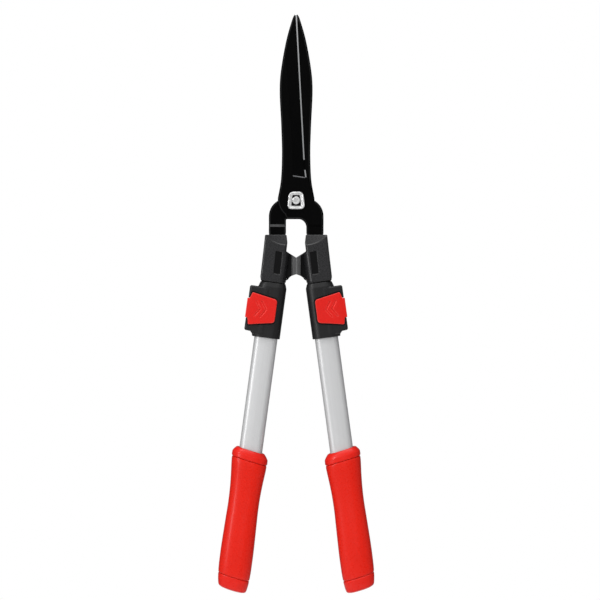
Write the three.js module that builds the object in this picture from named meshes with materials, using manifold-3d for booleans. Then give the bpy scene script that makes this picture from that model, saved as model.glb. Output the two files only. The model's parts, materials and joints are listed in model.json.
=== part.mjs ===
// Extendable hedge shears, upright, as an assembly of separate pieces. Millimetres, +Z up.
// The blades point up, the front faces -Y, and the origin is the middle of the flat underside of
// the pivot plates, where the tool hangs on a peg. Each handle is drawn once for the right side and
// mirrored for the left.

import * as THREE from 'three';
import { mergeVertices } from 'three/addons/utils/BufferGeometryUtils.js';
import { LoftGeometry } from 'three/addons/geometries/LoftGeometry.js';
import Module from 'manifold-3d';

const wasm = await Module();
wasm.setup();

// ---------- driving dimensions ----------

const GAP = 0.3; // clearance between neighbouring pieces

// cutting head
const TIP_HEIGHT = 245.5;
const PIVOT_HEIGHT = 22;
const BLADE_THICKNESS = 4;
const BLADE_TIP_THICKNESS = 2.4;
const BOSS_RADIUS = 22;
const SHOULDER_HALF_WIDTH = 32.8;
const TANG_INNER_X = 12.2;
const TANG_HALF_WIDTH = 9;
const EDGE_START = 0.8; // cutting edge past the centre line at the tip
const TIP_SPINE = -1.5;
const EDGE_SLOPE = 0.0535;
const EDGE_HEEL_HEIGHT = 71;
const EDGE_BEVEL_WIDTH = 2.4;
const EDGE_LAND = 1.1;
const FRONT_CROTCH_ROUND = 10;
const REAR_CROTCH_ROUND = 3;
const JOGGLE_TOP = -6.3;
const JOGGLE_BOTTOM = -9.3;

// pivot hardware
const PIVOT_HOLE_RADIUS = 5.3;
const BUSHING_RADIUS = 5;
const BOLT_RADIUS = 3.9;
const BEZEL_WIDTH = 20.4;
const BEZEL_HEIGHT = 20.8;
const BEZEL_THICKNESS = 3.2;
const BEZEL_RECESS = 1.8;

// handle axis
const HANDLE_OFFSET = 17; // from the centre line, level with the origin
const HANDLE_TILT = THREE.MathUtils.degToRad(7.7);

// tubes: width across the tool, depth front to back
const OUTER_WIDTH = 28;
const OUTER_DEPTH = 16;
const OUTER_ROUND = 7;
const INNER_WIDTH = 25;
const INNER_DEPTH = 13;
const INNER_ROUND = 5.5;
const WALL = 1.2;
const INNER_TOP = 46;
const INNER_BOTTOM = 344;
const OUTER_TOP = 84;
const OUTER_BOTTOM = 440;
const LOCK_STOPS = 5;
const LOCK_PITCH = 50;

// housing and bumper
const HOUSING_DEPTH = 22;
const HOUSING_BOTTOM = 76.5;
const BUMPER_DEPTH = 16;
const BUMPER_RIB = 5;
const TANG_END = 76;
const RIVET_DROPS = { upper: 54, lower: 68 };
const RIVET_RADIUS = 2.2;
const RIVET_HEAD_RADIUS = 3.8;
const RIVET_HEAD_HEIGHT = 1.2;
const TONGUE_REACH = -17.1; // how far the housing's tongue goes into the bumper
const TONGUE_TOP = 41.7;
const TONGUE_BOTTOM = 68.4;

// lock collar
const COLLAR_TOP = 77;
const COLLAR_BOTTOM = 143.5;
const COLLAR_DEPTH = 24;
const SPIGOT_RISE = 1.4; // the collar's rim, which closes the joint under the housing
const BUTTON_TOP = 99;
const BUTTON_BOTTOM = 122;
const BUTTON_OUTER = 28;
const BUTTON_THICKNESS = 2;
const BUTTON_SIDE_THICKNESS = 3.5;
const BUTTON_TRAVEL = 2.5;
const PAWL_PIVOT = { across: 16.6, down: 109 };
const PAWL_WIDTH = 5;
const PAWL_PIN_RADIUS = 1;
const POCKET_WALL = 22.4; // how far outboard the pawl's pocket reaches
const TOOTH_DROP = 121;
const TOOTH_LENGTH = 7;

// screws
const SCREW_RADIUS = 1.5;
const SCREW_HEAD_RADIUS = 2.9;
const SCREW_HEAD_HEIGHT = 1.6;
const HOUSING_SCREWS = {
  upper: { across: 2.8, down: 26.5 },
  lower: { across: 13, down: 40.5 },
};
const COLLAR_SCREWS = {
  upper: { across: 22.3, down: 89.5 },
  lower: { across: 23.3, down: 131.8 },
};

// grip
const GRIP_SLANT = 0.167; // how far the seams rise per millimetre outboard
const FLANGE_BOTTOM = 291.8;
const CAP_TOP = 432.7;
const CORE_WIDTH = 32;
const CORE_DEPTH = 21;
const CORE_ROUND = 8;
const GRIP_ROUNDNESS = 2.5;
const RING_POINTS = 20;

// facets
const ARC_STEPS = 2;
const ROUND_SIDES = 20;
const SMALL_ROUND_SIDES = 10;

// ---------- materials ----------

function finish(color, roughness, metalness) {
  return () => new THREE.MeshStandardMaterial({ color, roughness, metalness });
}

const blackSteel = finish(0x121214, 0.38, 0.85);
const brightSteel = finish(0xb9bcc0, 0.3, 1);
const aluminium = finish(0xc9cbcd, 0.35, 1);
const greyPlastic = finish(0x38383b, 0.5, 0);
const blackPlastic = finish(0x161618, 0.45, 0);
const redPlastic = finish(0xd9201c, 0.35, 0);
const redRubber = finish(0xe5343a, 0.75, 0);
const greyRubber = finish(0x4c4c50, 0.8, 0);
const whitePlastic = finish(0xd8d8d4, 0.5, 0);

// ---------- solids ----------

function toSolid(geometry) {
  const bare = geometry.index ? geometry.toNonIndexed() : geometry.clone();
  bare.deleteAttribute('normal');
  bare.deleteAttribute('uv');
  const merged = mergeVertices(bare, 1e-4);
  return new wasm.Manifold(new wasm.Mesh({
    numProp: 3,
    vertProperties: new Float32Array(merged.attributes.position.array),
    triVerts: new Uint32Array(merged.index.array),
  }));
}

function toGeometry(solid) {
  const { vertProperties, triVerts } = solid.getMesh();
  const geometry = new THREE.BufferGeometry();
  geometry.setAttribute('position', new THREE.BufferAttribute(new Float32Array(vertProperties), 3));
  geometry.setIndex(new THREE.BufferAttribute(new Uint32Array(triVerts), 1));
  geometry.computeVertexNormals();
  return geometry;
}

function box(xs, ys, zs) {
  const [width, depth, height] = [xs, ys, zs].map(([low, high]) => high - low);
  const geometry = new THREE.BoxGeometry(width, depth, height);
  geometry.translate(xs[0] + width / 2, ys[0] + depth / 2, zs[0] + height / 2);
  return toSolid(geometry);
}

// A shape drawn in x and z, given a thickness from one y to another.
function slab(shape, [low, high], options = {}) {
  const bevel = options.bevel ?? 0;
  const geometry = new THREE.ExtrudeGeometry(shape, {
    depth: high - low - 2 * bevel,
    curveSegments: options.segments ?? 6,
    bevelEnabled: bevel > 0,
    bevelThickness: bevel,
    bevelSize: bevel,
    bevelOffset: -bevel,
    bevelSegments: options.bevelSegments ?? 1,
  });
  geometry.rotateX(Math.PI / 2);
  geometry.translate(0, high - bevel, 0);
  return toSolid(geometry);
}

// A shape drawn in y and z, given a width from one x to another.
function sideSlab(shape, [low, high]) {
  const geometry = new THREE.ExtrudeGeometry(shape, { depth: high - low, bevelEnabled: false });
  const turn = new THREE.Matrix4().makeBasis(
    new THREE.Vector3(0, 1, 0), new THREE.Vector3(0, 0, 1), new THREE.Vector3(1, 0, 0),
  );
  geometry.applyMatrix4(turn);
  geometry.translate(low, 0, 0);
  return toSolid(geometry);
}

// A round rod along y at a point of the x-z plane.
function rod(radius, [low, high], x, z, sides = SMALL_ROUND_SIDES) {
  const geometry = new THREE.CylinderGeometry(radius, radius, high - low, sides);
  geometry.translate(x, (low + high) / 2, z);
  return toSolid(geometry);
}

// A flat-oval rod down the handle, from one drop to another.
function ovalRod(width, depth, radius, [from, to], segments = ARC_STEPS) {
  const [x, y] = [width / 2, depth / 2];
  const shape = new THREE.Shape();
  shape.absarc(x - radius, y - radius, radius, 0, Math.PI / 2);
  shape.absarc(radius - x, y - radius, radius, Math.PI / 2, Math.PI);
  shape.absarc(radius - x, radius - y, radius, Math.PI, 1.5 * Math.PI);
  shape.absarc(x - radius, radius - y, radius, 1.5 * Math.PI, 2 * Math.PI);
  shape.closePath();
  const geometry = new THREE.ExtrudeGeometry(shape, {
    depth: to - from,
    curveSegments: segments,
    bevelEnabled: false,
  });
  geometry.translate(0, 0, -to);
  return toSolid(geometry);
}

function outerOval(extra, drops) {
  return ovalRod(OUTER_WIDTH + 2 * extra, OUTER_DEPTH + 2 * extra, OUTER_ROUND + extra, drops);
}

function innerOval(extra, drops) {
  return ovalRod(INNER_WIDTH + 2 * extra, INNER_DEPTH + 2 * extra, INNER_ROUND + extra, drops);
}

// A closed outline from points given across the handle and down it.
function panel(points) {
  return new THREE.Shape(points.map(([across, down]) => new THREE.Vector2(across, -down)));
}

function band(width) {
  return [-width / 2, width / 2];
}

function piece(name, solid, material) {
  const mesh = new THREE.Mesh(toGeometry(solid), material());
  mesh.name = name;
  return mesh;
}

// ---------- cutting head ----------

// Outline of the right-hand tang's blade: spine on the left, cutting edge on the right. The inner
// corner of the crotch is wide on the front blade and tight on the rear one, which hides behind it.
function bladeOutline(crotchRound) {
  const spine = new THREE.SplineCurve([
    [TIP_SPINE, TIP_HEIGHT], [-4.8, 239], [-12.2, 212.5], [-18.4, 176.5], [-19.7, 151],
    [-18, 114], [-17, 79], [-18.2, 47], [-BOSS_RADIUS, 25],
  ].map(([x, z]) => new THREE.Vector2(x, z)));
  const edgeAt = (z) => EDGE_START + (TIP_HEIGHT - z) * EDGE_SLOPE;
  const tangBend = onHandle(TANG_HALF_WIDTH, 32);
  const tangEnd = [onHandle(-TANG_HALF_WIDTH, TANG_END), onHandle(TANG_HALF_WIDTH, TANG_END)];
  const shape = new THREE.Shape(spine.getPoints(26));
  shape.absarc(0, PIVOT_HEIGHT, BOSS_RADIUS, Math.PI, 1.28 * Math.PI);
  shape.quadraticCurveTo(-12.5, 0, -10, 0);
  shape.lineTo(TANG_INNER_X - crotchRound, 0);
  shape.quadraticCurveTo(TANG_INNER_X, 0, TANG_INNER_X, -crotchRound);
  shape.lineTo(TANG_INNER_X, -17);
  shape.lineTo(TANG_INNER_X + 1.2, -20);
  shape.lineTo(tangEnd[0].x, tangEnd[0].y);
  shape.lineTo(tangEnd[1].x, tangEnd[1].y);
  shape.lineTo(tangBend.x, tangBend.y);
  shape.lineTo(SHOULDER_HALF_WIDTH, -17);
  shape.lineTo(SHOULDER_HALF_WIDTH, 3);
  shape.bezierCurveTo(SHOULDER_HALF_WIDTH, 12, 28, 18.5, BOSS_RADIUS, PIVOT_HEIGHT);
  shape.quadraticCurveTo(19.5, 38, 12.4, 50);
  shape.lineTo(11.2, 59);
  shape.quadraticCurveTo(8, 63, edgeAt(EDGE_HEEL_HEIGHT), EDGE_HEEL_HEIGHT);
  shape.lineTo(EDGE_START, TIP_HEIGHT);
  return shape;
}

// Point of the right handle, given across and down it, in the tool's x and z.
function onHandle(across, down) {
  const [cos, sin] = [Math.cos(HANDLE_TILT), Math.sin(HANDLE_TILT)];
  return new THREE.Vector2(HANDLE_OFFSET + across * cos + down * sin, across * sin - down * cos);
}

// The plate is level with the pivot, thins towards the tip, and steps back to the handle's middle.
function bladeSideProfile() {
  const inner = -GAP / 2;
  const outer = inner - BLADE_THICKNESS;
  const half = BLADE_THICKNESS / 2;
  const bottom = -TANG_END - 5;
  return new THREE.Shape([
    [inner, TIP_HEIGHT + 1], [inner - BLADE_TIP_THICKNESS, TIP_HEIGHT + 1], [outer, 90],
    [outer, JOGGLE_TOP], [-half, JOGGLE_BOTTOM], [-half, bottom],
    [half, bottom], [half, JOGGLE_BOTTOM], [inner, JOGGLE_TOP],
  ].map(([y, z]) => new THREE.Vector2(y, z)));
}

// The wedge ground off the outer face along the cutting edge.
function edgeGrind() {
  const length = TIP_HEIGHT - EDGE_HEEL_HEIGHT + 20;
  const clear = -BLADE_THICKNESS - 6;
  const wedge = new THREE.Shape([
    new THREE.Vector2(-EDGE_BEVEL_WIDTH, -BLADE_THICKNESS),
    new THREE.Vector2(-EDGE_BEVEL_WIDTH, clear),
    new THREE.Vector2(4, clear),
    new THREE.Vector2(4, -EDGE_LAND),
    new THREE.Vector2(0, -EDGE_LAND),
  ]);
  const geometry = new THREE.ExtrudeGeometry(wedge, { depth: length, bevelEnabled: false });
  geometry.rotateY(-Math.atan(EDGE_SLOPE));
  const heel = EDGE_START + (TIP_HEIGHT - EDGE_HEEL_HEIGHT) * EDGE_SLOPE;
  geometry.translate(heel, -GAP / 2, EDGE_HEEL_HEIGHT);
  return toSolid(geometry);
}

function bladeSolid(crotchRound) {
  const screwAt = onHandle(HOUSING_SCREWS.upper.across, HOUSING_SCREWS.upper.down);
  const through = band(20);
  const holes = [
    rod(PIVOT_HOLE_RADIUS, through, 0, PIVOT_HEIGHT, ROUND_SIDES),
    ...Object.values(RIVET_DROPS).map((down) => {
      const at = onHandle(0, down);
      return rod(RIVET_RADIUS + GAP, through, at.x, at.y);
    }),
    rod(SCREW_RADIUS + GAP, through, screwAt.x, screwAt.y),
    edgeGrind(),
  ];
  const plate = slab(bladeOutline(crotchRound), through)
    .intersect(sideSlab(bladeSideProfile(), [-60, 60]));
  return holes.reduce((solid, hole) => solid.subtract(hole), plate);
}

// A turned piece on the pivot's axis: the profile is radius and distance behind the blades' joint.
function turned(profile, sides = ROUND_SIDES) {
  const geometry = new THREE.LatheGeometry(profile.map(([r, y]) => new THREE.Vector2(r, y)), sides);
  geometry.translate(0, 0, PIVOT_HEIGHT);
  return toSolid(geometry);
}

function ring(inner, outer, [near, far]) {
  return turned([[inner, near], [outer, near], [outer, far], [inner, far], [inner, near]]);
}

// Rounded square, a little narrower at the top.
function bezelShape(inset) {
  const half = BEZEL_WIDTH / 2 - inset;
  const top = half * 0.84;
  const [low, high] = [-BEZEL_HEIGHT / 2 + inset, BEZEL_HEIGHT / 2 - inset];
  const round = 4 - inset * 0.6;
  const shape = new THREE.Shape();
  shape.moveTo(round - half, PIVOT_HEIGHT + low);
  shape.lineTo(half - round, PIVOT_HEIGHT + low);
  shape.quadraticCurveTo(half, PIVOT_HEIGHT + low, half, PIVOT_HEIGHT + low + round);
  shape.lineTo(top + 0.3, PIVOT_HEIGHT + high - round);
  shape.quadraticCurveTo(top, PIVOT_HEIGHT + high, top - round, PIVOT_HEIGHT + high);
  shape.lineTo(round - top, PIVOT_HEIGHT + high);
  shape.quadraticCurveTo(-top, PIVOT_HEIGHT + high, -top - 0.3, PIVOT_HEIGHT + high - round);
  shape.lineTo(-half, PIVOT_HEIGHT + low + round);
  shape.quadraticCurveTo(-half, PIVOT_HEIGHT + low, round - half, PIVOT_HEIGHT + low);
  return shape;
}

function pivotHardware() {
  const face = GAP / 2 + BLADE_THICKNESS + GAP; // distance of the first outside piece from the joint
  const bezelFront = -face - BEZEL_THICKNESS;
  const recessFloor = bezelFront + BEZEL_RECESS;
  const seat = recessFloor - GAP;
  const head = 4.6;
  const bore = BOLT_RADIUS + GAP;
  const washer = [face, face + 1.5];
  const spring = [washer[1] + GAP, washer[1] + GAP + 1];
  const nut = [spring[1] + GAP, spring[1] + GAP + 5.4];
  const bezel = slab(bezelShape(0), [bezelFront, -face], { bevel: 0.9, segments: 3 })
    .subtract(slab(bezelShape(2.6), [bezelFront - 1, recessFloor], { segments: 3 }))
    .subtract(rod(bore, band(30), 0, PIVOT_HEIGHT, ROUND_SIDES));
  const bolt = turned([
    [0, seat - 2.6], [head - 0.6, seat - 2.6], [head, seat - 2], [head, seat],
    [BOLT_RADIUS, seat], [BOLT_RADIUS, nut[1] + 1.2], [0, nut[1] + 1.2],
  ]).subtract(rod(2.5, [seat - 4, seat - 1], 0, PIVOT_HEIGHT, 6));
  const nutSolid = rod(7.4, nut, 0, PIVOT_HEIGHT, 6)
    .subtract(rod(bore, band(40), 0, PIVOT_HEIGHT, ROUND_SIDES));
  const inside = GAP / 2 + BLADE_THICKNESS - 0.1;
  return [
    piece('pivot_bezel', bezel, brightSteel),
    piece('pivot_bolt', bolt, brightSteel),
    piece('pivot_bushing', ring(bore, BUSHING_RADIUS, [-inside, inside]), brightSteel),
    piece('pivot_washer', ring(bore, 9.5, washer), brightSteel),
    piece('pivot_spring_washer', turned([
      [bore, spring[0] + 0.35], [7.4, spring[0]], [7.4, spring[1] - 0.35], [bore, spring[1]],
      [bore, spring[0] + 0.35],
    ]), blackSteel),
    piece('pivot_nut', nutSolid, brightSteel),
  ];
}

// ---------- handle: pieces fixed to the tang ----------

function screwSolid({ across, down }, back, front) {
  const neck = back - SCREW_HEAD_HEIGHT;
  const geometry = new THREE.LatheGeometry([
    [0, front], [SCREW_RADIUS - 0.5, front], [SCREW_RADIUS, front + 1], [SCREW_RADIUS, neck],
    [SCREW_HEAD_RADIUS, neck], [SCREW_HEAD_RADIUS, back - 0.5], [SCREW_HEAD_RADIUS - 0.7, back],
    [0, back],
  ].map(([r, y]) => new THREE.Vector2(r, y)), SMALL_ROUND_SIDES);
  geometry.translate(across, 0, -down);
  return toSolid(geometry);
}

function screwHole({ across, down }, back, front) {
  return rod(SCREW_RADIUS + GAP, [front - 1, back + 5], across, -down)
    .add(rod(SCREW_HEAD_RADIUS + GAP, [back - SCREW_HEAD_HEIGHT - GAP, back + 5], across, -down));
}

function housingOutline() {
  return panel([
    [-8, 18.2], [17.4, 21.7], [16.9, 40], [16.3, 72], [15, HOUSING_BOTTOM],
    [-14.4, HOUSING_BOTTOM], [-14.9, 72], [-14.7, 39.8], [-10.4, 37.8], [-10.2, 27],
  ]);
}

// The tongue between the housing and its bumper, or the slot for it.
function bumperTongue(extra, root) {
  const outline = panel([
    [root, TONGUE_TOP - extra], [TONGUE_REACH - extra, TONGUE_TOP - extra],
    [TONGUE_REACH - extra, TONGUE_BOTTOM + extra], [root, TONGUE_BOTTOM + 2 + extra],
  ]);
  return slab(outline, band(BUMPER_RIB + 2 * extra));
}

function rivetHeads(extra) {
  const face = INNER_DEPTH / 2 + GAP + RIVET_HEAD_HEIGHT;
  const across = band(2 * (face + extra));
  return Object.values(RIVET_DROPS).map((down) => rod(RIVET_HEAD_RADIUS + extra, across, 0, -down));
}

function housingShells(side) {
  const back = HOUSING_DEPTH / 2 - 1;
  const front = -HOUSING_DEPTH / 2 + 3.5;
  const tangSlot = slab(panel([
    [-7.8, 10], [13.9, 10], [13.6, 26], [9.6, 34], [9.6, 60], [-9.6, 60], [-9.6, 34], [-7.6, 24],
  ]), band(BLADE_THICKNESS + 2 * GAP));
  const labelPanel = panel([[-6, 39.6], [2, 39], [1.2, 66.4], [-6.8, 66.4]]);
  const cuts = [
    tangSlot,
    innerOval(GAP, [INNER_TOP - GAP, HOUSING_BOTTOM + 5]),
    outerOval(2 * GAP, [COLLAR_TOP - SPIGOT_RISE - GAP, HOUSING_BOTTOM + 5]),
    ...rivetHeads(GAP),
    ...Object.values(HOUSING_SCREWS).map((at) => screwHole(at, back, front)),
    slab(labelPanel, [-30, 0.8 - HOUSING_DEPTH / 2]),
  ];
  const whole = slab(housingOutline(), band(HOUSING_DEPTH), { bevel: 2.2 }).add(bumperTongue(0, -14));
  const body = cuts.reduce((solid, cut) => solid.subtract(cut), whole);
  return [
    piece(`${side}_housing_front`, body.intersect(box([-60, 60], [-40, -GAP / 2], [-200, 0])), greyPlastic),
    piece(`${side}_housing_back`, body.intersect(box([-60, 60], [GAP / 2, 40], [-200, 0])), greyPlastic),
    ...Object.entries(HOUSING_SCREWS).map(([place, at]) => (
      piece(`${side}_housing_screw_${place}`, screwSolid(at, back, front), brightSteel))),
  ];
}

// The rubber stop: straight slanted top, upright contact face, hollowed underside.
function bumper(side) {
  const base = -14.9 - GAP;
  const shape = new THREE.Shape();
  shape.moveTo(base, -40);
  shape.lineTo(base, -72.4);
  shape.lineTo(base - 1.6, -71);
  shape.quadraticCurveTo(-18.3, -66.2, -25.67, -63.4);
  shape.lineTo(-23, -43.6);
  const solid = slab(shape, band(BUMPER_DEPTH), { bevel: 0.6 }).subtract(bumperTongue(GAP, -13));
  return piece(`${side}_bumper`, solid, greyRubber);
}

function tangAdapter(side) {
  const drops = [INNER_TOP + 1, TANG_END + 4];
  const holes = Object.values(RIVET_DROPS).map((down) => rod(RIVET_RADIUS + GAP, band(40), 0, -down));
  const half = TANG_HALF_WIDTH + GAP;
  const slot = box([-half, half], band(BLADE_THICKNESS + 2 * GAP), [-TANG_END - GAP, -30]);
  const solid = [slot, ...holes].reduce((rest, cut) => rest.subtract(cut), innerOval(-WALL - GAP, drops));
  return piece(`${side}_tang_adapter`, solid, blackPlastic);
}

function tangRivet(side, place) {
  const neck = INNER_DEPTH / 2 + GAP;
  const face = neck + RIVET_HEAD_HEIGHT;
  const geometry = new THREE.LatheGeometry([
    [0, -face], [RIVET_HEAD_RADIUS - 1, -face], [RIVET_HEAD_RADIUS, -neck], [RIVET_RADIUS, -neck],
    [RIVET_RADIUS, neck], [RIVET_HEAD_RADIUS, neck], [RIVET_HEAD_RADIUS - 1, face], [0, face],
  ].map(([r, y]) => new THREE.Vector2(r, y)), SMALL_ROUND_SIDES);
  geometry.translate(0, 0, -RIVET_DROPS[place]);
  return piece(`${side}_tang_rivet_${place}`, toSolid(geometry), brightSteel);
}

function innerTube(side) {
  const cuts = [innerOval(-WALL, [INNER_TOP - 5, INNER_BOTTOM + 5])];
  for (const down of Object.values(RIVET_DROPS)) {
    cuts.push(rod(RIVET_RADIUS + GAP, band(40), 0, -down));
  }
  for (let stop = 0; stop < LOCK_STOPS; stop += 1) {
    const down = TOOTH_DROP + stop * LOCK_PITCH;
    const half = TOOTH_LENGTH / 2 + 0.6;
    const across = [INNER_WIDTH / 2 - 3, INNER_WIDTH / 2 + 3];
    cuts.push(box(across, band(PAWL_WIDTH + 1), [-down - half, -down + half]));
  }
  const solid = cuts.reduce((rest, cut) => rest.subtract(cut), innerOval(0, [INNER_TOP, INNER_BOTTOM]));
  return piece(`${side}_inner_tube`, solid, aluminium);
}

function tubePlug(side) {
  const solid = innerOval(0, [INNER_BOTTOM + GAP, INNER_BOTTOM + 3])
    .add(innerOval(-WALL - GAP, [INNER_BOTTOM - 12, INNER_BOTTOM + 2]));
  return piece(`${side}_tube_plug`, solid, whitePlastic);
}

// ---------- handle: pieces that slide with the grip ----------

function outerTube(side) {
  const half = TOOTH_LENGTH / 2 + 0.9;
  const hole = box([OUTER_WIDTH / 2 - 5, OUTER_WIDTH / 2 + 3], band(PAWL_WIDTH + 1.2),
    [-TOOTH_DROP - half, -TOOTH_DROP + half]);
  const solid = outerOval(0, [OUTER_TOP, OUTER_BOTTOM])
    .subtract(outerOval(-WALL, [OUTER_TOP - 5, OUTER_BOTTOM + 5]))
    .subtract(hole);
  return piece(`${side}_outer_tube`, solid, aluminium);
}

function slideBush(side) {
  const drops = [COLLAR_TOP + 1.8, OUTER_TOP - GAP];
  const solid = outerOval(0, drops).subtract(innerOval(GAP, [drops[0] - 5, drops[1] + 5]));
  return piece(`${side}_slide_bush`, solid, whitePlastic);
}

function collarShells(side) {
  const back = COLLAR_DEPTH / 2 - 1;
  const front = -COLLAR_DEPTH / 2 + 4;
  const outline = panel([
    [-15.2, COLLAR_TOP], [15.6, COLLAR_TOP], [17.2, 80], [17.2, 83.3], [25.6, 83.4], [27, 85],
    [27, 136], [25.8, 137.4], [19.8, 138], [17, 141], [17, COLLAR_BOTTOM], [-16.2, COLLAR_BOTTOM],
    [-16.6, 83.5],
  ]);
  const windowWall = BUTTON_OUTER - BUTTON_SIDE_THICKNESS - BUTTON_TRAVEL - 1.4;
  const cuts = [
    outerOval(GAP, [COLLAR_TOP + 1.5, COLLAR_BOTTOM + 5]),
    innerOval(GAP, [COLLAR_TOP - 5, COLLAR_TOP + 5]),
    box([windowWall, 40], band(60), [-BUTTON_BOTTOM - 0.5, 0.5 - BUTTON_TOP]),
    box([10, POCKET_WALL], band(PAWL_WIDTH + 3), [-128, -95]),
    box([19.2, 20.4], band(PAWL_WIDTH + 1), [-133.2, -126]),
    rod(PAWL_PIN_RADIUS + GAP, band(17), PAWL_PIVOT.across, -PAWL_PIVOT.down, 12),
    ...Object.values(COLLAR_SCREWS).map((at) => screwHole(at, back, front)),
  ];
  const spigot = outerOval(GAP, [COLLAR_TOP - SPIGOT_RISE, COLLAR_TOP + 1]);
  const whole = slab(outline, band(COLLAR_DEPTH), { bevel: 1.8 }).add(spigot);
  const body = cuts.reduce((solid, cut) => solid.subtract(cut), whole);
  return [
    piece(`${side}_collar_front`, body.intersect(box([-60, 60], [-40, -GAP / 2], [-200, 0])), blackPlastic),
    piece(`${side}_collar_back`, body.intersect(box([-60, 60], [GAP / 2, 40], [-200, 0])), blackPlastic),
    ...Object.entries(COLLAR_SCREWS).map(([place, at]) => (
      piece(`${side}_collar_screw_${place}`, screwSolid(at, back, front), brightSteel))),
  ];
}

// The button wraps the collar: a panel on the front and the back, joined along the outboard side.
function lockButton(side) {
  const inner = COLLAR_DEPTH / 2 + GAP;
  const outer = inner + BUTTON_THICKNESS;
  const face = panel([
    [-7.8, 99.2], [-5.6, 96.4], [22.7, 91.7], [25.2, 98.9], [BUTTON_OUTER, BUTTON_TOP],
    [BUTTON_OUTER, BUTTON_BOTTOM], [25.3, 122.2], [24.6, 130.1], [-5.6, 125.1], [-7.8, 122.3],
  ]);
  const sideInner = BUTTON_OUTER - BUTTON_SIDE_THICKNESS;
  const wall = box([sideInner, BUTTON_OUTER], band(2 * inner + 1), [-BUTTON_BOTTOM, -BUTTON_TOP]);
  const presser = box([20.2, sideInner + 1], band(4), [-102, -99.6]);
  const panels = slab(face, band(2 * outer), { bevel: 0.9 });
  const hollow = box([-60, 60], band(2 * inner), [-200, 0]);
  return piece(`${side}_lock_button`, panels.subtract(hollow).add(wall).add(presser), redPlastic);
}

// The rocker: its upper arm is pushed by the button, its lower arm carries the tooth.
function lockPawl(side) {
  const { across, down } = PAWL_PIVOT;
  const arm = slab(panel([
    [across - 1.6, down - 1], [across + 1.9, 97.2], [across + 3.9, 97.2], [across + 1.6, down],
    [across + 1, TOOTH_DROP + 3.5], [INNER_WIDTH / 2 + GAP, TOOTH_DROP + 3.5],
    [INNER_WIDTH / 2 + GAP, TOOTH_DROP - 2.5], [14.6, TOOTH_DROP - 3.5], [across - 1.6, TOOTH_DROP - 5],
  ]), band(PAWL_WIDTH));
  const solid = arm.add(rod(2.2, band(PAWL_WIDTH), across, -down, 14))
    .subtract(rod(PAWL_PIN_RADIUS + GAP, band(20), across, -down, 12));
  return piece(`${side}_lock_pawl`, solid, brightSteel);
}

function pawlPin(side) {
  const pin = rod(PAWL_PIN_RADIUS, band(16.4), PAWL_PIVOT.across, -PAWL_PIVOT.down, 12);
  return piece(`${side}_pawl_pin`, pin, brightSteel);
}

// A leaf spring, rooted in the collar and bearing on the pawl's lower arm.
function lockSpring(side) {
  const leaf = slab(panel([
    [19.5, 132.8], [19.5, 127], [17.9, 120.6], [18.4, 117.4],
    [18.9, 117.5], [18.4, 120.6], [20, 126.8], [20, 132.8],
  ]), band(PAWL_WIDTH));
  return piece(`${side}_lock_spring`, leaf, brightSteel);
}

// ---------- grip ----------

// Rings of the grip, square to its slanted seams: drop at the middle, half width, half depth.
function gripLoft(stations) {
  const sections = stations.map(([down, halfWidth, halfDepth]) => {
    const points = [];
    for (let i = 0; i < RING_POINTS; i += 1) {
      const angle = (i / RING_POINTS) * 2 * Math.PI;
      const bulge = (value) => Math.sign(value) * Math.abs(value) ** (2 / GRIP_ROUNDNESS);
      const across = halfWidth * bulge(Math.cos(angle));
      points.push(new THREE.Vector3(across, halfDepth * bulge(Math.sin(angle)), -down + GRIP_SLANT * across));
    }
    return points.reverse();
  });
  return toSolid(new LoftGeometry(sections, { capStart: true, capEnd: true }));
}

function gripCore(side) {
  const flange = gripLoft([
    [279.6, 15.9, 10.6], [280.6, 17.6, 12.1], [283.4, 20.1, 14], [286.8, 21.9, 15.2],
    [290.8, 21.9, 15.2], [FLANGE_BOTTOM, 21.3, 14.7],
  ]);
  const slanted = gripLoft([[285, 40, 40], [CAP_TOP - GAP - 0.2, 40, 40]]);
  const tube = ovalRod(CORE_WIDTH, CORE_DEPTH, CORE_ROUND, [270, 450]).intersect(slanted);
  const solid = flange.add(tube).subtract(outerOval(GAP, [200, 500]));
  return piece(`${side}_grip_core`, solid, redPlastic);
}

function gripSleeve(side) {
  const skin = gripLoft([
    [FLANGE_BOTTOM + GAP, 20.6, 14.2], [293.6, 21.4, 14.8], [302, 20.9, 14.5], [314, 19.8, 13.7],
    [330, 18.8, 13], [347, 18.5, 12.8], [364, 18.9, 13.1], [382, 19.4, 13.5], [402, 19.8, 13.8],
    [420, 19.7, 13.7], [430, 19.3, 13.4], [CAP_TOP - GAP - 0.2, 18.6, 12.9],
  ]);
  const bore = ovalRod(CORE_WIDTH + 2 * GAP, CORE_DEPTH + 2 * GAP, CORE_ROUND + GAP, [200, 500]);
  return piece(`${side}_grip_sleeve`, skin.subtract(bore), redRubber);
}

function gripEndCap(side) {
  const cap = gripLoft([
    [CAP_TOP, 18.4, 12.7], [434, 19, 13.2], [440, 18.4, 12.7], [445.4, 17.3, 11.8],
    [447.3, 16, 10.7], [448.5, 13, 8.4], [449.3, 7, 4.4], [449.6, 4, 2.6],
  ]);
  const socket = outerOval(GAP, [400, OUTER_BOTTOM + GAP]);
  return piece(`${side}_grip_end_cap`, cap.subtract(socket), redPlastic);
}

// ---------- assembly ----------

function handle(side) {
  const group = new THREE.Group();
  group.add(
    ...housingShells(side),
    bumper(side),
    tangAdapter(side),
    tangRivet(side, 'upper'),
    tangRivet(side, 'lower'),
    innerTube(side),
    tubePlug(side),
    outerTube(side),
    slideBush(side),
    ...collarShells(side),
    lockButton(side),
    lockPawl(side),
    pawlPin(side),
    lockSpring(side),
    gripCore(side),
    gripSleeve(side),
    gripEndCap(side),
  );
  group.position.x = HANDLE_OFFSET;
  group.rotation.y = -HANDLE_TILT;
  return group;
}

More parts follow.
